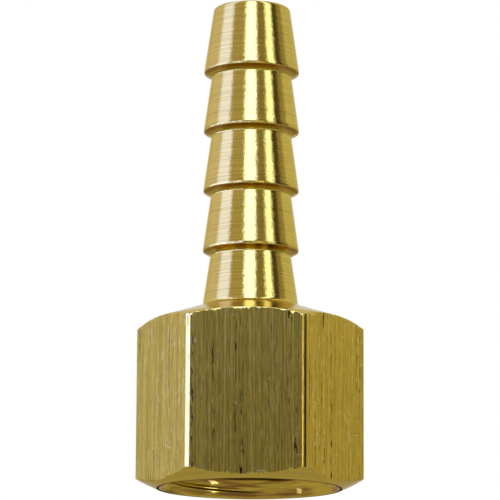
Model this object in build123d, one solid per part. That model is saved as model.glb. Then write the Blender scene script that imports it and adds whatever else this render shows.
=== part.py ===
from build123d import *
from math import cos, radians, tan
import os

# Hose barb fitting, turned in one piece from hexagonal brass bar: a hexagon with a female pipe
# thread at the bottom and a barbed tail for a flexible hose at the top.
# Millimetres. +Z runs up the waterway, and the origin is the centre of the mouth's end face.

# Hexagonal bar
across_flats = 15.875            # 5/8 in bar, two flats facing -Y and +Y
bar_corner_radius = 0.25         # a drawn bar's corners are never sharp
hex_height = 13.27               # end face to the circle where the corner chamfer starts
corner_chamfer_diameter = 16.44  # just wider than the flats, so mostly the corners are cut
corner_chamfer_angle = 26
end_chamfer_diameter = 14.8      # inner edge of the chamfer at the mouth's end
end_chamfer_angle = 25

# Shoulder, a shallow cone that rises from the hexagon to the tail
shoulder_angle = 18
root_fillet = 0.45

# Barbed tail
barb_count = 4
barb_pitch = 4.93
first_barb_rise = 4.6            # root of the tail to the middle of the lowest lip's land
lip_diameter = 7.72
neck_diameter = 6.5
lip_land = 0.2                   # short straight band round each lip
lip_back_height = 0.34           # the lip's underside drops this far to the neck
tip_diameter = 6.21
tip_length = 5.32                # middle of the top lip's land to the end of the tail
tip_fillet = 0.26

# Bore, drilled and countersunk for a 1/4-18 tapered pipe thread
tap_drill_diameter = 11.11
tap_drill_depth = 10.7
drill_point_angle = 118
countersink_diameter = 14.4
countersink_angle = 90
waterway_diameter = 4.76
waterway_chamfer = 0.2

# Levels along the axis that follow from those sizes
lip_radius = lip_diameter / 2
neck_radius = neck_diameter / 2
chamfer_radius = corner_chamfer_diameter / 2
root_level = hex_height + (chamfer_radius - lip_radius) * tan(radians(shoulder_angle))
lip_levels = [root_level + first_barb_rise + barb_pitch * i for i in range(barb_count)]
tip_level = lip_levels[-1] + tip_length
blank_radius = across_flats / 2 / cos(radians(30)) + 1    # clear of the bar's corners


def turned_outline():
    """Radius and height of each corner of the turned outside, each with its fillet."""
    end_radius = end_chamfer_diameter / 2
    end_rise = (blank_radius - end_radius) * tan(radians(end_chamfer_angle))
    corner_drop = (blank_radius - chamfer_radius) * tan(radians(corner_chamfer_angle))
    corners = [
        (0, 0, 0),
        (end_radius, 0, 0),
        (blank_radius, end_rise, 0),
        (blank_radius, hex_height - corner_drop, 0),
        (chamfer_radius, hex_height, 0),
        (lip_radius, root_level, root_fillet),
    ]
    for level in lip_levels:
        land_foot = level - lip_land / 2
        corners += [
            (neck_radius, land_foot - lip_back_height, 0),
            (lip_radius, land_foot, 0),
            (lip_radius, level + lip_land / 2, 0),
        ]
    corners += [
        (tip_diameter / 2, tip_level, tip_fillet),
        (0, tip_level, 0),
    ]
    return corners


def turned_blank():
    """The outside as the lathe leaves it, before the flats of the bar cut into it."""
    corners = turned_outline()
    path = FilletPolyline(
        *[(radius, height) for radius, height, _ in corners],
        radius=[fillet for _, _, fillet in corners[1:-1]],
    )
    section = make_face([*path.edges(), Edge.make_line(path @ 1, path @ 0)])
    return revolve(Plane.XZ * section, Axis.Z)


def hexagonal_bar():
    """Drawn bar as long as the fitting, with its corners on the X axis."""
    section = RegularPolygon(across_flats / 2, 6, major_radius=False)
    section = fillet(section.vertices(), bar_corner_radius)
    return extrude(section, tip_level)


def drilled_bore():
    """Everything that the drills and the countersink take away along the axis."""
    mouth_radius = countersink_diameter / 2
    drill_radius = tap_drill_diameter / 2
    waterway_radius = waterway_diameter / 2
    sink_depth = (mouth_radius - drill_radius) / tan(radians(countersink_angle / 2))
    point_height = (drill_radius - waterway_radius) / tan(radians(drill_point_angle / 2))
    section = Polyline(
        (0, 0),
        (mouth_radius, 0),
        (drill_radius, sink_depth),
        (drill_radius, tap_drill_depth),
        (waterway_radius, tap_drill_depth + point_height),
        (waterway_radius, tip_level - waterway_chamfer),
        (waterway_radius + waterway_chamfer, tip_level),
        (0, tip_level),
        close=True,
    )
    return revolve(Plane.XZ * make_face(section), Axis.Z)


def fitting_body():
    return (hexagonal_bar() & turned_blank()) - drilled_bore()


os.makedirs("parts", exist_ok=True)
export_step(fitting_body(), "parts/fitting_body.step")
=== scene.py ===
import bpy
import math
import numpy as np
from mathutils import Matrix, Vector


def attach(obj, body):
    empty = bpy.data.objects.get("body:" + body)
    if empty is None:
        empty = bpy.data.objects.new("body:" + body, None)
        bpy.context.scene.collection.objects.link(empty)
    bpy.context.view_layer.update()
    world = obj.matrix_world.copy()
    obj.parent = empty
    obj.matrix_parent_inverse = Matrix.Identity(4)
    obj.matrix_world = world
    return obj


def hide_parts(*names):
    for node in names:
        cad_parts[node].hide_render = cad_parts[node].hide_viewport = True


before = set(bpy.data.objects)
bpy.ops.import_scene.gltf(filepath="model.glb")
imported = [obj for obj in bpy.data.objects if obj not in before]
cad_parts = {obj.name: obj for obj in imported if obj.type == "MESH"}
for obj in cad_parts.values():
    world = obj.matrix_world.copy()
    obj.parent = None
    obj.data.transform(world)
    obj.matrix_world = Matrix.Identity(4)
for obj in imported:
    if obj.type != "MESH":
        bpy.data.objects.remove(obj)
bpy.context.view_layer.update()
scene = bpy.context.scene
mm = 0.001
print("frame loaded")


# Small helpers

def addNode(tree, kind, inputs=None, **settings):
    # an input is a value, a node, whose first output is used, or an output socket
    node = tree.nodes.new(kind)
    for name, value in settings.items():
        setattr(node, name, value)
    for name, value in (inputs or {}).items():
        if isinstance(value, bpy.types.Node):
            value = value.outputs[0]
        if isinstance(value, bpy.types.NodeSocket):
            tree.links.new(value, node.inputs[name])
        else:
            node.inputs[name].default_value = value
    return node


def linearColour(hexCode):
    parts = [int(hexCode[i:i + 2], 16) / 255 for i in (1, 3, 5)]
    return [c / 12.92 if c <= 0.04045 else ((c + 0.055) / 1.055) ** 2.4 for c in parts] + [1.0]


def newMaterial(name):
    material = bpy.data.materials.new(name)
    material.use_nodes = True
    material.node_tree.nodes.clear()
    return material, material.node_tree


def newObject(name, data):
    made = bpy.data.objects.new(name, data)
    scene.collection.objects.link(made)
    return made


# Camera, just below the end face and looking up a little

camera = {
    "azimuth": 2.255,        # degrees round the fitting, towards the right
    "distance": 250 * mm,    # from the fitting's axis
    "height": -28.78 * mm,   # against the end face
    "pitch": 10.9,           # degrees, upwards
    "yaw": 0.013,            # degrees off the fitting's axis, to the left
    "roll": 0.311,           # degrees, the picture's top leans right
    "focalPixels": 3154,     # for a picture 500 pixels wide
    "widthPixels": 500,
}


def addCamera():
    turn, tilt, yaw, roll = (
        math.radians(camera[key]) for key in ("azimuth", "pitch", "yaw", "roll"))
    data = bpy.data.cameras.new("camera")
    data.sensor_width = 36
    data.lens = camera["focalPixels"] * data.sensor_width / camera["widthPixels"]
    data.clip_start, data.clip_end = 0.01, 10
    made = newObject("camera", data)
    away = Vector((math.sin(turn), -math.cos(turn), 0))
    ahead = Vector((-math.sin(turn + yaw), math.cos(turn + yaw), 0))
    aim = ahead * math.cos(tilt) + Vector((0, 0, math.sin(tilt)))
    level = aim.to_track_quat("-Z", "Y").to_matrix().to_4x4()
    made.location = away * camera["distance"] + Vector((0, 0, camera["height"]))
    made.rotation_euler = (level @ Matrix.Rotation(roll, 4, "Z")).to_euler()
    scene.camera = made


addCamera()
print("camera placed")


# Brass finishes

brass = {
    "turned": "#CCB554",     # yellow brass with the green cast of free-cutting rod
    "drawn": "#D1B94E",      # the same under the thin skin that drawing leaves
    "scratchAndGlint": "#E6D38C",    # fresh metal in a scratch, and painted highlight in the glints
    "edge": "#F4E8C4",       # what it reflects where it is seen edge on
    "dark": "#38280A",       # oil and tarnish in the pits
    "paintedShade": "#AC8240",       # painted shade under the lips, in brown
    "tapped": "#8C6832",     # the same painted shade, darker, in patches in the thread
    "stain": "#CBAE49",      # the warmer stain along some of the grain
}


turnedLook = {
    "feed": 0.09,                # millimetres a turn, drawn coarse enough to show
    "lineLevels": (0.3, 0.6),    # the lines' noise, from its darkest to its lightest shade
    "lineShade": (0.8, 1.02),
    "chatter": 0.18,             # millimetres, the width of its ripples
    "chatterSquash": 2.5,        # how much lower they are than wide
    "chatterDepth": 5.0,         # against the lines
    "bump": 0.18,
    "bumpDepth": 0.02,
    "roughness": 0.085,
    # painted shade under the lips, and where it lies on each barb
    "shadeReach": 0.9,             # the lowest barb's share of a pitch, from its lip down
    "shadeRise": (0.02, 0.045),    # from none to full, above the neck, in parts of a pitch
    "shadeFall": (0.973, 0.979),   # from full to none, above the lip below, in parts of a pitch
}


def turnedBrass():
    # bright turned brass: tool lines round the axis and a little chatter break up its reflections
    material, tree = newMaterial("turnedBrass")
    place = addNode(tree, "ShaderNodeTexCoord").outputs["Object"]
    parts = addNode(tree, "ShaderNodeSeparateXYZ", {0: place})
    flat = addNode(tree, "ShaderNodeCombineXYZ", {0: parts.outputs[0], 1: parts.outputs[1]})
    radius = addNode(tree, "ShaderNodeVectorMath", {0: flat}, operation="LENGTH").outputs["Value"]
    rings = addNode(tree, "ShaderNodeCombineXYZ", {0: radius, 1: parts.outputs[2]})
    lines = addNode(tree, "ShaderNodeTexNoise", {
        "Vector": rings, "Scale": 1 / (2 * turnedLook["feed"] * mm), "Detail": 3.0,
        "Roughness": 0.7}, noise_dimensions="2D")
    squashed = addNode(tree, "ShaderNodeMapping", {
        0: place, "Scale": (1, 1, turnedLook["chatterSquash"])})
    chatter = addNode(tree, "ShaderNodeTexNoise", {
        "Vector": squashed, "Scale": 1 / (2 * turnedLook["chatter"] * mm), "Detail": 2.5,
        "Roughness": 0.75})
    height = addNode(tree, "ShaderNodeMath", {
        0: chatter.outputs[0], 1: turnedLook["chatterDepth"], 2: lines.outputs[0]},
        operation="MULTIPLY_ADD")
    bump = addNode(tree, "ShaderNodeBump", {
        "Height": height, "Strength": turnedLook["bump"], "Distance": turnedLook["bumpDepth"] * mm})
    low, high = turnedLook["lineLevels"]
    dark, light = turnedLook["lineShade"]
    shade = addNode(tree, "ShaderNodeMapRange", {
        0: lines.outputs[0], 1: low, 2: high, 3: dark, 4: light})
    # painted shade under each lip: the tail is coloured brown there, where the lip above shades it
    reach = turnedLook["shadeReach"]
    barbs = addNode(tree, "ShaderNodeMapRange", {
        0: parts.outputs[2], 1: (firstLevel - reach * body["pitch"]) * mm, 2: topLevel * mm,
        3: -reach, 4: body["repeats"]})
    phase = addNode(tree, "ShaderNodeMath", {0: barbs}, operation="FRACT")
    neck = 1 - (body["lipLand"] / 2 + body["lipBack"]) / body["pitch"]
    none, full = turnedLook["shadeRise"]
    rise = addNode(tree, "ShaderNodeMapRange", {0: phase, 1: neck + none, 2: neck + full})
    full, none = turnedLook["shadeFall"]
    fall = addNode(tree, "ShaderNodeMapRange", {0: phase, 1: full, 2: none, 3: 1.0, 4: 0.0})
    paintedShade = addNode(tree, "ShaderNodeMath", {0: rise, 1: fall}, operation="MULTIPLY")
    plain = addNode(tree, "ShaderNodeMix", {
        0: paintedShade, 6: linearColour(brass["turned"]), 7: linearColour(brass["paintedShade"])},
        data_type="RGBA")
    colour = addNode(tree, "ShaderNodeMix", {0: 1.0, 6: plain.outputs[2], 7: shade},
                     data_type="RGBA", blend_type="MULTIPLY")
    shader = addNode(tree, "ShaderNodeBsdfPrincipled", {
        "Base Color": colour.outputs[2], "Metallic": 1.0, "Roughness": turnedLook["roughness"],
        "Specular Tint": linearColour(brass["edge"]), "Normal": bump})
    addNode(tree, "ShaderNodeOutputMaterial", {0: shader})
    return material


drawnLook = {
    # width and length in millimetres, detail, and the noise's levels from none to full
    # the real grain is a few hundredths wide, so most of these are drawn coarser, to show
    "marks": {
        "lines": (0.05, 8, 2.0, 0.0, 1.0),
        "grain": (0.04, 0.8, 2.0, 0.0, 1.0),
        "pits": (0.07, 0.45, 1.0, 0.56, 0.58),
        "pitRows": (0.14, 10, 2.0, 0.6, 0.62),
        "glints": (0.055, 0.25, 0.0, 0.66, 0.7),
        "drags": (0.05, 9, 1.0, 0.68, 0.7),
        "dragBreaks": (0.05, 0.3, 0.0, 0.4, 0.5),
        "stains": (0.12, 20, 2.0, 0.45, 0.75),
    },
    "crestLevels": (1.0, 1.08),      # lines and grain together, where a painted glint may show
    "grainLevels": (0.8, 1.2),       # the same, from its darkest to its lightest shade
    "grainShade": (0.7, 1.14),
    "hairlineSize": 5,               # millimetres, of the noise whose contours they are
    "hairlineLevels": (0.002, 0.007),
    "breakSize": 0.8,                # millimetres, of the patches that show them
    "breakLevels": (0.57, 0.6),
    "pitDepth": 2.0,                 # against the grain
    "bump": 0.14,
    "bumpDepth": 0.01,
    "roughness": 0.19,
}


def drawnBrass():
    # cold drawn brass: the die leaves fine straight grain and torn pits along the bar
    material, tree = newMaterial("drawnBrass")
    place = addNode(tree, "ShaderNodeTexCoord").outputs["Object"]
    mark = {}
    for name, (width, length, detail, none, full) in drawnLook["marks"].items():
        stretch = addNode(tree, "ShaderNodeMapping", {
            0: place, "Scale": (1, 1, width / length)})
        noise = addNode(tree, "ShaderNodeTexNoise", {
            "Vector": stretch, "Scale": 1 / (2 * width * mm), "Detail": detail, "Roughness": 0.6})
        mark[name] = addNode(tree, "ShaderNodeMapRange", {0: noise, 1: none, 2: full})
    grain = addNode(tree, "ShaderNodeMath", {0: mark["lines"], 1: mark["grain"]}, operation="ADD")
    none, full = drawnLook["crestLevels"]
    crests = addNode(tree, "ShaderNodeMapRange", {0: grain, 1: none, 2: full})
    pits = addNode(tree, "ShaderNodeMath", {
        0: mark["pits"], 1: mark["pitRows"]}, operation="MULTIPLY")
    # painted highlight: glints are lighter spots on the grain's crests, coloured like a scratch
    glints = addNode(tree, "ShaderNodeMath", {0: mark["glints"], 1: crests}, operation="MULTIPLY")
    drags = addNode(tree, "ShaderNodeMath", {
        0: mark["drags"], 1: mark["dragBreaks"]}, operation="MULTIPLY")
    # hairline scratches: contour lines of a smooth noise, which a second one breaks up
    field = addNode(tree, "ShaderNodeTexNoise", {
        "Vector": place, "Scale": 1 / (drawnLook["hairlineSize"] * mm), "Detail": 0.0})
    away = addNode(tree, "ShaderNodeMath", {0: field, 1: 0.5}, operation="SUBTRACT")
    away = addNode(tree, "ShaderNodeMath", {0: away}, operation="ABSOLUTE")
    full, none = drawnLook["hairlineLevels"]
    hairline = addNode(tree, "ShaderNodeMapRange", {0: away, 1: full, 2: none, 3: 1.0, 4: 0.0})
    patchy = addNode(tree, "ShaderNodeTexNoise", {
        "Vector": place, "Scale": 1 / (drawnLook["breakSize"] * mm), "Detail": 1.0})
    none, full = drawnLook["breakLevels"]
    breaks = addNode(tree, "ShaderNodeMapRange", {0: patchy, 1: none, 2: full})
    scratches = addNode(tree, "ShaderNodeMath", {0: hairline, 1: breaks}, operation="MULTIPLY")
    scratchesAndGlints = addNode(tree, "ShaderNodeMath", {0: scratches, 1: glints}, operation="MAXIMUM")
    scratchesAndGlints = addNode(tree, "ShaderNodeMath", {0: scratchesAndGlints, 1: drags}, operation="MAXIMUM")

    stained = addNode(tree, "ShaderNodeMix", {
        0: mark["stains"], 6: linearColour(brass["drawn"]), 7: linearColour(brass["stain"])},
        data_type="RGBA")
    low, high = drawnLook["grainLevels"]
    dark, light = drawnLook["grainShade"]
    tone = addNode(tree, "ShaderNodeMapRange", {0: grain, 1: low, 2: high, 3: dark, 4: light})
    toned = addNode(tree, "ShaderNodeMix", {0: 1.0, 6: stained.outputs[2], 7: tone},
                    data_type="RGBA", blend_type="MULTIPLY")
    pitted = addNode(tree, "ShaderNodeMix", {
        0: pits, 6: toned.outputs[2], 7: linearColour(brass["dark"])}, data_type="RGBA")
    # real scratches and drags, and the painted glints, take the scratch colour
    colour = addNode(tree, "ShaderNodeMix", {
        0: scratchesAndGlints, 6: pitted.outputs[2], 7: linearColour(brass["scratchAndGlint"])}, data_type="RGBA")

    relief = addNode(tree, "ShaderNodeMath", {
        0: pits, 1: -drawnLook["pitDepth"], 2: grain}, operation="MULTIPLY_ADD")
    relief = addNode(tree, "ShaderNodeMath", {0: scratches, 1: relief}, operation="ADD")
    bump = addNode(tree, "ShaderNodeBump", {
        "Height": relief, "Strength": drawnLook["bump"], "Distance": drawnLook["bumpDepth"] * mm})
    shader = addNode(tree, "ShaderNodeBsdfPrincipled", {
        "Base Color": colour.outputs[2], "Metallic": 1.0, "Roughness": drawnLook["roughness"],
        "Specular Tint": linearColour(brass["edge"]), "Normal": bump})
    addNode(tree, "ShaderNodeOutputMaterial", {0: shader})
    return material


tappedLook = {
    "patchLength": 4,                  # millimetres, the length of the patches of painted shade round the bore
    "patchSquash": 12,           # how much lower they are than long
    "shadeLevels": (0.42, 0.64),
    "bump": 0.8,
    "bumpDepth": 0.05,
    "roughness": 0.12,
}


def tappedBrass():
    # brass as the drill and the tap leave it, torn a little and so duller than the outside, with
    # painted shade in darker patches
    material, tree = newMaterial("tappedBrass")
    place = addNode(tree, "ShaderNodeTexCoord").outputs["Object"]
    squashed = addNode(tree, "ShaderNodeMapping", {
        0: place, "Scale": (1, 1, tappedLook["patchSquash"])})
    patchNoise = addNode(tree, "ShaderNodeTexNoise", {
        "Vector": squashed, "Scale": 1 / (tappedLook["patchLength"] * mm), "Detail": 2.0,
        "Roughness": 0.5})
    none, full = tappedLook["shadeLevels"]
    paintedShade = addNode(tree, "ShaderNodeMapRange", {0: patchNoise.outputs[0], 1: none, 2: full})
    # painted shade: random patches in the bore are coloured darker
    colour = addNode(tree, "ShaderNodeMix", {
        0: paintedShade, 6: linearColour(brass["drawn"]), 7: linearColour(brass["tapped"])},
        data_type="RGBA")
    bump = addNode(tree, "ShaderNodeBump", {
        "Height": patchNoise.outputs[0], "Strength": tappedLook["bump"],
        "Distance": tappedLook["bumpDepth"] * mm})
    shader = addNode(tree, "ShaderNodeBsdfPrincipled", {
        "Base Color": colour.outputs[2], "Metallic": 1.0, "Roughness": tappedLook["roughness"],
        "Specular Tint": linearColour(brass["edge"]), "Normal": bump})
    addNode(tree, "ShaderNodeOutputMaterial", {0: shader})
    return material


# The body, one closed skin of rings round the axis, with its sizes in millimetres

body = {
    "acrossFlats": 15.875,
    "cornerRadius": 0.45,        # of the bar, worn a little rounder than fresh stock
    "hexHeight": 13.27,          # end face to the ring where the corner chamfer starts
    "chamferRadius": 8.22,
    "chamferAngle": 26,
    "chamferBand": 0.12,         # its least width, over the middle of a flat
    "endRadius": 7.4,            # inner edge of the chamfer at the mouth's end
    "endAngle": 25,
    "shoulderAngle": 18,
    "lipRadius": 3.86,
    "neckRadius": 3.25,
    "lipLand": 0.2,
    "lipBack": 0.34,             # height of a lip's sloping underside
    "firstRise": 4.6,            # root of the tail to the lowest lip
    "pitch": 4.93,
    "repeats": 3,                # lengths of barb above the lowest lip
    "tipRadius": 3.105,
    "tipLength": 5.32,
    "waterwayRadius": 2.38,
    "waterwayChamfer": 0.2,
    "drillRadius": 5.555,
    "drillDepth": 10.7,
    "drillPoint": 118,           # degrees across the drill's point
    "mouthRadius": 7.2,          # foot of the 90 degree countersink
    "mouthMargin": 0.1,          # from the mouth's edge to the row on each side of it
    "waterwayMargin": 0.05,      # from the waterway's edge to the row beside it
    "uprightLimit": 0.35,        # a face that tilts further than this is turned, and not a flat
    "columnsPerFlat": 54,
    "columnsPerCorner": 6,
    "columnsPerInner": 3,        # outer columns for each one of the bore
    "burr": 0.8,                 # how ragged the turned edges of the flats are, from 0 to 1
    "seed": 7,
}

edges = {
    # how far each edge is rounded along both of its sides, in millimetres
    "neck": 0.1,
    "lipFoot": 0.05,
    "lipTop": 0.04,
    "endFace": 0.04,
    "flatFoot": 0.07,            # ragged, as the next one is
    "flatTop": 0.08,
    "shoulder": 0.04,
    "root": 0.2,
    "tip": 0.25,
    "waterway": 0.03,
    "drillPoint": 0.06,
    "mouth": 0.04,
    # and how every rounding is made
    "most": 0.45,                # the largest share of a side that it may take
    "beside": 1.2,               # where the row beside it lies, in reaches
    "steps": 4,
}

thread = {
    "pitch": 25.4 / 18,
    "majorRadius": 6.808,        # at the end face
    "taper": 1 / 32,             # loss of radius for each millimetre of depth
    "flank": 30,                 # degrees, half the groove's angle
    "rootFlat": 0.09,
    "fullDepth": 8.6,
    "runOut": 0.45,              # the tap's lead takes off this much radius for each millimetre
    "start": 0.34,               # where the groove meets the end face, in turns
    "spareTurns": 8,             # keep the turns above nought all the way down
    "rowsPerTurn": 16,
}


def slope(angle):
    return math.tan(math.radians(angle))


def hexColumns():
    # angle and radius of each column, closer together round the bar's corners
    apothem, corner = body["acrossFlats"] / 2, body["cornerRadius"]
    reach = math.degrees(math.atan((apothem - corner) * slope(30) / apothem))
    centre = (apothem - corner) / math.cos(math.radians(30))
    found = []
    for side in range(6):
        middle = 30 + 60 * side
        for step in np.linspace(-reach, reach, body["columnsPerFlat"] + 1):
            found.append((math.radians(middle + step), apothem / math.cos(math.radians(step))))
        for step in np.linspace(0, 60, body["columnsPerCorner"] + 1)[1:-1]:
            at, out = math.radians(middle + 30), math.radians(middle + step)
            x = centre * math.cos(at) + corner * math.cos(out)
            y = centre * math.sin(at) + corner * math.sin(out)
            found.append((math.atan2(y, x) % (2 * math.pi), math.hypot(x, y)))
    found.sort()
    found.append((found[0][0] + 2 * math.pi, found[0][1]))
    return np.array(found).T


angles, hexRadius = hexColumns()
innerAngles = angles[::body["columnsPerInner"]]
shoulderWidth = body["chamferRadius"] - body["lipRadius"]
rootLevel = body["hexHeight"] + shoulderWidth * slope(body["shoulderAngle"])
firstLevel = rootLevel + body["firstRise"]
topLevel = firstLevel + body["repeats"] * body["pitch"]
tipLevel = topLevel + body["tipLength"]


def ring(radius, height, columns=angles):
    return np.stack(np.broadcast_arrays(columns, radius, height), 1)


def shoulder(radius):
    # the turned top at a radius: a shallow cone within the chamfer's ring, the chamfer beyond it
    inward = body["chamferRadius"] - radius
    rise = np.where(inward > 0, slope(body["shoulderAngle"]), slope(body["chamferAngle"]))
    return ring(radius, body["hexHeight"] + inward * rise)


def roundedRows(corners):
    # corners are (ring, reach), and each edge is rounded that far along both of its sides
    most, beside = edges["most"], edges["beside"]
    rows = [corners[0][0]]
    for i in range(1, len(corners) - 1):
        here, reach = corners[i]
        if not np.any(reach):
            rows.append(here)
            continue
        sides = []
        for other in (corners[i - 1][0], corners[i + 1][0]):
            gap = np.linalg.norm(other - here, axis=1)
            sides.append((other - here) * np.minimum(reach / gap, most)[:, None])
        rows.append(here + sides[0] * beside)
        for t in np.linspace(0, 1, edges["steps"] + 1):
            rows.append(here + sides[0] * (1 - t) ** 2 + sides[1] * t ** 2)
        rows.append(here + sides[1] * beside)
    return [*rows, corners[-1][0]]


def lipCorners(level):
    foot, top = level - body["lipLand"] / 2, level + body["lipLand"] / 2
    return [
        (ring(body["neckRadius"], foot - body["lipBack"]), edges["neck"]),
        (ring(body["lipRadius"], foot), edges["lipFoot"]),
        (ring(body["lipRadius"], top), edges["lipTop"]),
    ]


def raggedReach(reach, part):
    # the lathe's cut tears the drawn skin where it meets a flat
    chance = np.random.default_rng([body["seed"], part]).random(len(angles) - 1)
    rough = reach * (1 + body["burr"] * (4 * chance ** 3 - 1))
    return np.append(rough, rough[0])


# rounding an edge makes the rows of its steps and one on each side, and the last of them is the
# first row of what starts above a lip
belowBarb = edges["steps"] + 3


def lowerRows():
    # from the mouth out over the end face, up the flats, in to the tail and up to the lowest lip
    endRise = (hexRadius - body["endRadius"]) * slope(body["endAngle"])
    inner = np.minimum(body["chamferRadius"], hexRadius - body["chamferBand"])
    return roundedRows([
        (ring(body["mouthRadius"] + body["mouthMargin"], 0), 0),
        (ring(body["endRadius"], 0), edges["endFace"]),
        (ring(hexRadius, endRise), raggedReach(edges["flatFoot"], 1)),
        (shoulder(hexRadius), raggedReach(edges["flatTop"], 2)),
        (shoulder(inner), edges["shoulder"]),
        (ring(body["lipRadius"], rootLevel), edges["root"]),
        *lipCorners(firstLevel),
        lipCorners(firstLevel + body["pitch"])[0],
    ])[:-1]


def barbRows():
    # one length of barb, from just above the lowest lip to just above the next
    return roundedRows([
        *lipCorners(firstLevel)[1:],
        *lipCorners(firstLevel + body["pitch"]),
        lipCorners(firstLevel + 2 * body["pitch"])[0],
    ])[belowBarb:-1]


def upperRows():
    # from the highest lip over the tip, down the waterway and the drill's point, down the bore
    way, drill, depth = body["waterwayRadius"], body["drillRadius"], body["drillDepth"]
    rim, margin = way + body["waterwayChamfer"], body["waterwayMargin"]
    point = (drill - way) / slope(body["drillPoint"] / 2)
    tail = roundedRows([
        *lipCorners(topLevel)[1:],
        (ring(body["tipRadius"], tipLevel), edges["tip"]),
        (ring(rim + margin, tipLevel), 0),
    ])[belowBarb:]
    inside = roundedRows([
        (ring(rim + margin, tipLevel, innerAngles), 0),
        (ring(rim, tipLevel, innerAngles), edges["waterway"]),
        (ring(way, tipLevel - body["waterwayChamfer"], innerAngles), edges["waterway"]),
        (ring(way, depth + point, innerAngles), edges["drillPoint"]),
        (ring(drill, depth, innerAngles), 0),
    ])
    # the bore's rows climb a pitch in each turn, so the thread's edges run along them, and the
    # lowest start more than a pitch below the end face
    mouth, margin = body["mouthRadius"], body["mouthMargin"]
    step = thread["pitch"] / thread["rowsPerTurn"]
    top = math.ceil(depth / step) * step
    bore = []
    for start in np.arange(top, -thread["pitch"] * 1.2, -step):
        climb = start + thread["pitch"] * innerAngles / (2 * math.pi)
        height = np.clip(climb, margin, depth)
        bore.append(ring(np.maximum(drill, mouth - height), height, innerAngles))
    face = roundedRows([
        (ring(mouth - margin, margin, innerAngles), 0),
        (ring(mouth, 0, innerAngles), edges["mouth"]),
        (ring(mouth + 0.6 * margin, 0, innerAngles), 0),
        (ring(mouth + margin, 0), 0),
    ])
    return [*tail, *inside, *bore, *face]


def skin(name, rows):
    # faces between each ring and the next, also where one has more columns than the other
    angle, radius, height = np.concatenate(rows).T
    points = np.stack([radius * np.cos(angle), radius * np.sin(angle), height], 1) * mm
    starts = np.cumsum([0] + [len(row) for row in rows]).tolist()
    faces = []
    for i in range(len(rows) - 1):
        count = min(len(rows[i]), len(rows[i + 1])) - 1
        stepA, stepB = (len(rows[i]) - 1) // count, (len(rows[i + 1]) - 1) // count
        for k in range(count):
            a, b = starts[i] + k * stepA, starts[i + 1] + k * stepB
            faces.append([*range(a, a + stepA + 1), *reversed(range(b, b + stepB + 1))])
    mesh = bpy.data.meshes.new(name)
    mesh.from_pydata(points.tolist(), [], faces)
    return newObject(name, mesh)


def newTree(name, sockets):
    tree = bpy.data.node_groups.new(name, "GeometryNodeTree")
    sockets = {"Geometry": "Geometry", **sockets}
    for socket, kind in sockets.items():
        tree.interface.new_socket(socket, in_out="INPUT", socket_type="NodeSocket" + kind)
    tree.interface.new_socket("Geometry", in_out="OUTPUT", socket_type="NodeSocketGeometry")
    return tree, addNode(tree, "NodeGroupInput").outputs


def addModifier(owner, tree, values):
    modifier = owner.modifiers.new(tree.name, "NODES")
    modifier.node_group = tree
    for item in tree.interface.items_tree:
        if item.in_out == "INPUT" and item.name in values:
            modifier[item.identifier] = values[item.name]


def barbTree():
    # repeats the one length of barb up the tail and welds it to what is above and below
    tree, given = newTree("repeatedBarbs", {
        "Barb": "Object", "Repeats": "Int", "Pitch": "Float", "Finish": "Material"})
    barb = addNode(tree, "GeometryNodeObjectInfo", {"Object": given["Barb"]})
    step = addNode(tree, "ShaderNodeCombineXYZ", {2: given["Pitch"]})
    line = addNode(tree, "GeometryNodeMeshLine", {"Count": given["Repeats"], "Offset": step})
    copies = addNode(tree, "GeometryNodeInstanceOnPoints",
                     {"Points": line, "Instance": barb.outputs["Geometry"]})
    joined = addNode(tree, "GeometryNodeJoinGeometry", {0: given["Geometry"]})
    tree.links.new(copies.outputs[0], joined.inputs[0])
    plain = addNode(tree, "GeometryNodeRealizeInstances", {0: joined})
    welded = addNode(tree, "GeometryNodeMergeByDistance", {
        "Geometry": plain, "Distance": 0.001 * mm})
    smooth = addNode(tree, "GeometryNodeSetShadeSmooth", {"Geometry": welded})
    coated = addNode(tree, "GeometryNodeSetMaterial", {
        "Geometry": smooth, "Material": given["Finish"]})
    addNode(tree, "NodeGroupOutput", {0: coated})
    return tree


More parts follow.
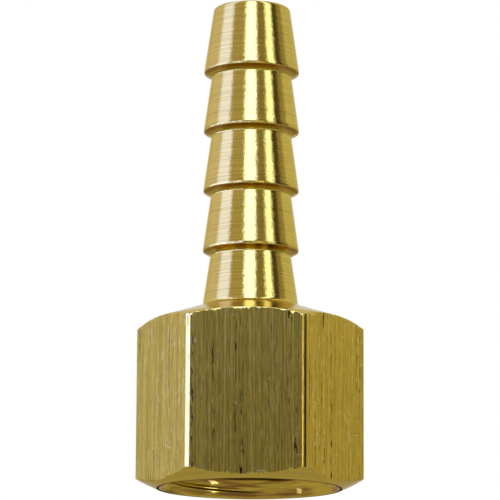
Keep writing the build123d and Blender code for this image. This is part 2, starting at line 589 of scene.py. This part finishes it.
def threadTree():
    # pushes the bore's rows out to the tap's form, a 60 degree groove on a taper, and
    # gives the flats and the inside their own finishes
    tree, given = newTree("taperedThread", {
        "Pitch": "Float", "Start": "Float", "Major Radius": "Float", "Taper": "Float",
        "Root Flat": "Float", "Flank Slope": "Float", "Full Depth": "Float", "Run Out": "Float",
        "Drill Depth": "Float", "Mouth Radius": "Float", "Hex Height": "Float",
        "Waterway Radius": "Float", "Upright Limit": "Float", "Flats Finish": "Material",
        "Inside Finish": "Material"})

    position = addNode(tree, "GeometryNodeInputPosition")
    normal = addNode(tree, "GeometryNodeInputNormal")
    place = addNode(tree, "ShaderNodeSeparateXYZ", {0: position}).outputs
    facing = addNode(tree, "ShaderNodeSeparateXYZ", {0: normal}).outputs
    value = {socket.name: socket for socket in given}
    value.update(x=place[0], y=place[1], z=place[2], facingUp=facing[2])
    # each step is an operation on earlier steps, the tree's inputs or numbers
    steps = {
        "xx": ("MULTIPLY", "x", "x"),
        "yy": ("MULTIPLY", "y", "y"),
        "square": ("ADD", "xx", "yy"),
        "radius": ("SQRT", "square"),
        "angle": ("ARCTAN2", "y", "x"),
        "turn": ("DIVIDE", "angle", 2 * math.pi),
        "level": ("DIVIDE", "z", "Pitch"),
        "unwound": ("SUBTRACT", "level", "turn"),
        "started": ("ADD", "unwound", "Start"),
        "phase": ("FRACT", "started"),
        "fromRoot": ("SUBTRACT", "phase", 0.5),
        "distance": ("ABSOLUTE", "fromRoot"),
        "aside": ("MULTIPLY", "distance", "Pitch"),
        "halfFlat": ("MULTIPLY", "Root Flat", 0.5),
        "pastFlat": ("SUBTRACT", "aside", "halfFlat"),
        "alongFlank": ("MAXIMUM", "pastFlat", 0.0),
        "flank": ("DIVIDE", "alongFlank", "Flank Slope"),
        "pastFull": ("SUBTRACT", "z", "Full Depth"),
        "inRunOut": ("MAXIMUM", "pastFull", 0.0),
        "runOut": ("MULTIPLY", "inRunOut", "Run Out"),
        "tapered": ("MULTIPLY", "z", "Taper"),
        "lost": ("ADD", "tapered", "runOut"),
        "below": ("ADD", "lost", "flank"),
        "groove": ("SUBTRACT", "Major Radius", "below"),
        "outer": ("MAXIMUM", "radius", "groove"),
        "inner": ("MAXIMUM", "radius", 0.1 * mm),      # never nought
        "ratio": ("DIVIDE", "outer", "inner"),
        "movedX": ("MULTIPLY", "x", "ratio"),
        "movedY": ("MULTIPLY", "y", "ratio"),
        "withinHexagon": ("LESS_THAN", "z", "Hex Height"),
        "withinMouth": ("LESS_THAN", "radius", "Mouth Radius"),
        "inBore": ("MULTIPLY", "withinHexagon", "withinMouth"),
        "withinDrill": ("LESS_THAN", "z", "Drill Depth"),
        "tapped": ("MULTIPLY", "inBore", "withinDrill"),
        "tilt": ("ABSOLUTE", "facingUp"),
        "upright": ("LESS_THAN", "tilt", "Upright Limit"),
        "outside": ("GREATER_THAN", "radius", "Mouth Radius"),
        "onBar": ("MULTIPLY", "withinHexagon", "outside"),
        "onFlats": ("MULTIPLY", "onBar", "upright"),
        "inWay": ("LESS_THAN", "radius", "Waterway Radius"),
        "inside": ("MAXIMUM", "inBore", "inWay"),
    }
    for name, (operation, *operands) in steps.items():
        inputs = {i: value.get(operand, operand) for i, operand in enumerate(operands)}
        value[name] = addNode(tree, "ShaderNodeMath", inputs, operation=operation).outputs[0]

    moved = addNode(tree, "ShaderNodeCombineXYZ", {
        0: value["movedX"], 1: value["movedY"], 2: value["z"]})
    cut = addNode(tree, "GeometryNodeSetPosition", {
        "Geometry": given["Geometry"], "Selection": value["tapped"], "Position": moved})
    plain = addNode(tree, "GeometryNodeRealizeInstances", {0: cut})
    flats = addNode(tree, "GeometryNodeSetMaterial", {
        "Geometry": plain, "Selection": value["onFlats"], "Material": given["Flats Finish"]})
    inside = addNode(tree, "GeometryNodeSetMaterial", {
        "Geometry": flats, "Selection": value["inside"], "Material": given["Inside Finish"]})
    addNode(tree, "NodeGroupOutput", {0: inside})
    return tree


def addBody():
    lower, upper = skin("lower", lowerRows()), skin("upper", upperRows())
    barb = skin("barb", barbRows())
    both = [lower, upper]
    with bpy.context.temp_override(active_object=lower, selected_editable_objects=both):
        bpy.ops.object.join()
    addModifier(lower, barbTree(), {
        "Barb": barb, "Repeats": body["repeats"], "Pitch": body["pitch"] * mm, "Finish": turned})
    addModifier(lower, threadTree(), {
        "Pitch": thread["pitch"] * mm,
        "Start": thread["spareTurns"] + thread["start"],
        "Major Radius": thread["majorRadius"] * mm,
        "Taper": thread["taper"],
        "Root Flat": thread["rootFlat"] * mm,
        "Flank Slope": slope(thread["flank"]),
        "Full Depth": thread["fullDepth"] * mm,
        "Run Out": thread["runOut"],
        "Drill Depth": body["drillDepth"] * mm,
        "Mouth Radius": (body["mouthRadius"] + 0.5 * body["mouthMargin"]) * mm,
        "Hex Height": body["hexHeight"] * mm,
        "Waterway Radius": (body["waterwayRadius"] + 0.5 * body["waterwayChamfer"]) * mm,
        "Upright Limit": body["uprightLimit"],
        "Flats Finish": drawn,
        "Inside Finish": tapped})
    bpy.context.view_layer.update()
    evaluated = lower.evaluated_get(bpy.context.evaluated_depsgraph_get())
    made = newObject("fittingBody", bpy.data.meshes.new_from_object(evaluated))
    for helper in (lower, barb):
        bpy.data.objects.remove(helper)
    return made


turned, drawn, tapped = turnedBrass(), drawnBrass(), tappedBrass()
print("brass finishes made")

fittingBody = addBody()
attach(fittingBody, "root")
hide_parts("fitting_body")
print("body made:", len(fittingBody.data.polygons), "faces")


# Studio: a pale floor, a grey surround and the soft boxes that the brass shows

studio = {
    "wallRadius": 0.9,
    "wallRise": (-30, 53),       # elevation from and to, in degrees
    "wallLevel": 0.82,
    "boxRadius": 0.7,
    "floorReach": 3,
    "floorDrop": 0.01 * mm,      # keeps the floor under the sheets and off the end face
    "floorLift": 0.45,           # what it adds to be white where it is seen
    "worldLevel": 0.5,           # as a light, against 1 where it is seen
    "keyLamp": ((-0.5, -0.5, 0.9), 0.5, 6),    # place, size and watts
    # x from and to, y from and to, height, in millimetres, level, colour
    "sheets": {
        "nearSheet": (-28, 28, -28, 28, 0.01, 0.52, "#FFF6E8"),
        "farSheet": (-300, 300, -300, 300, 0.005, 0.45, "#FFF6E8"),
        # a dark sheet under the end face, a painted contact shadow
        "contactSheet": (-20, 20, -20, 20, -0.005, 0.05, "#FFF6E8"),
        "leftGlint": (-3.05, -2.45, 5.3, 6.05, 0.02, 5.0, "#C6CEFF"),
        "rightGlint": (3.25, 3.75, 5.55, 5.8, 0.02, 4.0, "#C6CEFF"),
    },
    # azimuth from and to, elevation from and to, in degrees, level, colour
    "boxes": {
        "centreBox": (-15, 15, 20, 68, 8.6, "#9AACFF"),
        "leftEdge": (-135, -91, 13, 68, 1.6, "#C8C6FF"),
        "leftBox": (-91, -55, 12, 68, 6.0, "#8690FF"),
        "rightBox": (43, 62, 12, 68, 4.6, "#BCC8FF"),
        "leftFlag": (-55, -15, 14, 68, 0.6, "#FFF2EE"),
        "rightGap": (15, 43, 14, 68, 0.36, "#FFF0DC"),
        "rightFlag": (62, 82, 14, 68, 0.1, "#FFECD2"),
        "farFlag": (82, 100, 14, 68, 0.45, "#FFF0DC"),
        "frontFlag": (-18, 14, -12, 20, 0.18, "#FFF4E0"),
        "cornerBox": (-116, -18, 3, 12, 14.0, "#7381FF"),
        "glintBox": (14, 34, -2, 12, 1.6, "#FFF4D8"),
        "cornerFlag": (34, 104, -12, 14, 0.02, "#FFECD2"),
        "lowLeft": (-180, -116, -30, 13, 0.6, "#FFFCEE"),
        "lowRight": (104, 180, -30, 13, 0.58, "#FFF4DC"),
    },
}


def glow(name, colour, level):
    material, tree = newMaterial(name)
    light = addNode(tree, "ShaderNodeEmission", {0: colour, 1: level})
    addNode(tree, "ShaderNodeOutputMaterial", {0: light})
    return material


def addCard(name, points, faces, material):
    # a flat or curved card that only reflections show
    mesh = bpy.data.meshes.new(name)
    mesh.from_pydata(points, [], faces)
    mesh.materials.append(material)
    made = newObject(name, mesh)
    made.visible_camera = made.visible_diffuse = made.visible_shadow = False


def addPatch(name, span, rise, distance, material, columns=24):
    # a part of a cylinder round the fitting, lit on its inside
    points = []
    for height in (distance * slope(rise[0]), distance * slope(rise[1])):
        for turn in np.radians(np.linspace(*span, columns + 1)):
            points.append((distance * math.sin(turn), -distance * math.cos(turn), height))
    faces = [(i, i + 1, i + columns + 2, i + columns + 1) for i in range(columns)]
    addCard(name, points, faces, material)


def addStudio():
    wall = glow("greyPaper", linearColour("#FFFFFF"), studio["wallLevel"])
    addPatch("surround", (0, 360), studio["wallRise"], studio["wallRadius"], wall, columns=96)
    for name, (left, right, low, high, level, colour) in studio["boxes"].items():
        light = glow(name, linearColour(colour), level)
        addPatch(name, (left, right), (low, high), studio["boxRadius"], light)
    # sheets on the table: grey for what stands over the table, a darker one for the end face,
    # which touches it, as its painted contact shadow, and two small bright ones under the mouth
    for name, (left, right, front, back, height, level, colour) in studio["sheets"].items():
        corners = [(x * mm, y * mm, height * mm)
                   for x, y in ((left, front), (right, front), (right, back), (left, back))]
        addCard(name, corners, [(0, 1, 2, 3)], glow(name, linearColour(colour), level))


def isSeen(tree):
    # one for rays from the camera and those that metal or glass sends on, nought for the rest
    path = addNode(tree, "ShaderNodeLightPath").outputs
    seen = addNode(tree, "ShaderNodeMath", {
        0: path["Is Camera Ray"], 1: path["Is Glossy Ray"]}, operation="MAXIMUM")
    return addNode(tree, "ShaderNodeMath", {
        0: seen, 1: path["Is Transmission Ray"]}, operation="MAXIMUM")


def addFloor():
    # seen from below it isn't there, because the camera stands a little lower than the floor
    material, tree = newMaterial("paleFloor")
    back = addNode(tree, "ShaderNodeNewGeometry").outputs["Backfacing"]
    level = addNode(tree, "ShaderNodeMath", {
        0: isSeen(tree), 1: studio["floorLift"]}, operation="MULTIPLY")
    paper = addNode(tree, "ShaderNodeBsdfDiffuse", {0: linearColour("#F4F4F2")})
    lift = addNode(tree, "ShaderNodeEmission", {1: level})
    both = addNode(tree, "ShaderNodeAddShader", {0: paper, 1: lift})
    clear = addNode(tree, "ShaderNodeBsdfTransparent")
    shader = addNode(tree, "ShaderNodeMixShader", {0: back, 1: both, 2: clear})
    addNode(tree, "ShaderNodeOutputMaterial", {0: shader})
    mesh = bpy.data.meshes.new("floor")
    reach, low = studio["floorReach"], -studio["floorDrop"]
    corners = [(x * reach, y * reach, low) for x, y in ((-1, -1), (1, -1), (1, 1), (-1, 1))]
    mesh.from_pydata(corners, [], [(0, 1, 2, 3)])
    mesh.materials.append(material)
    newObject("floor", mesh)


def addWorld():
    world = bpy.data.worlds.new("studio")
    world.use_nodes = True
    tree = world.node_tree
    tree.nodes.clear()
    level = addNode(tree, "ShaderNodeMapRange", {
        0: isSeen(tree), 3: studio["worldLevel"], 4: 1.0})
    sky = addNode(tree, "ShaderNodeBackground", {0: linearColour("#FFFFFF"), 1: level})
    addNode(tree, "ShaderNodeOutputWorld", {0: sky})
    scene.world = world


def addLamp(name, place, size, watts):
    data = bpy.data.lights.new(name, "AREA")
    data.size, data.energy = size, watts
    lamp = newObject(name, data)
    lamp.location = place
    lamp.rotation_euler = (-Vector(place)).to_track_quat("-Z", "Y").to_euler()
    lamp.visible_glossy = False


addStudio()
addFloor()
addWorld()
addLamp("keyLamp", *studio["keyLamp"])
scene.view_settings.view_transform = "Standard"
print("studio made")
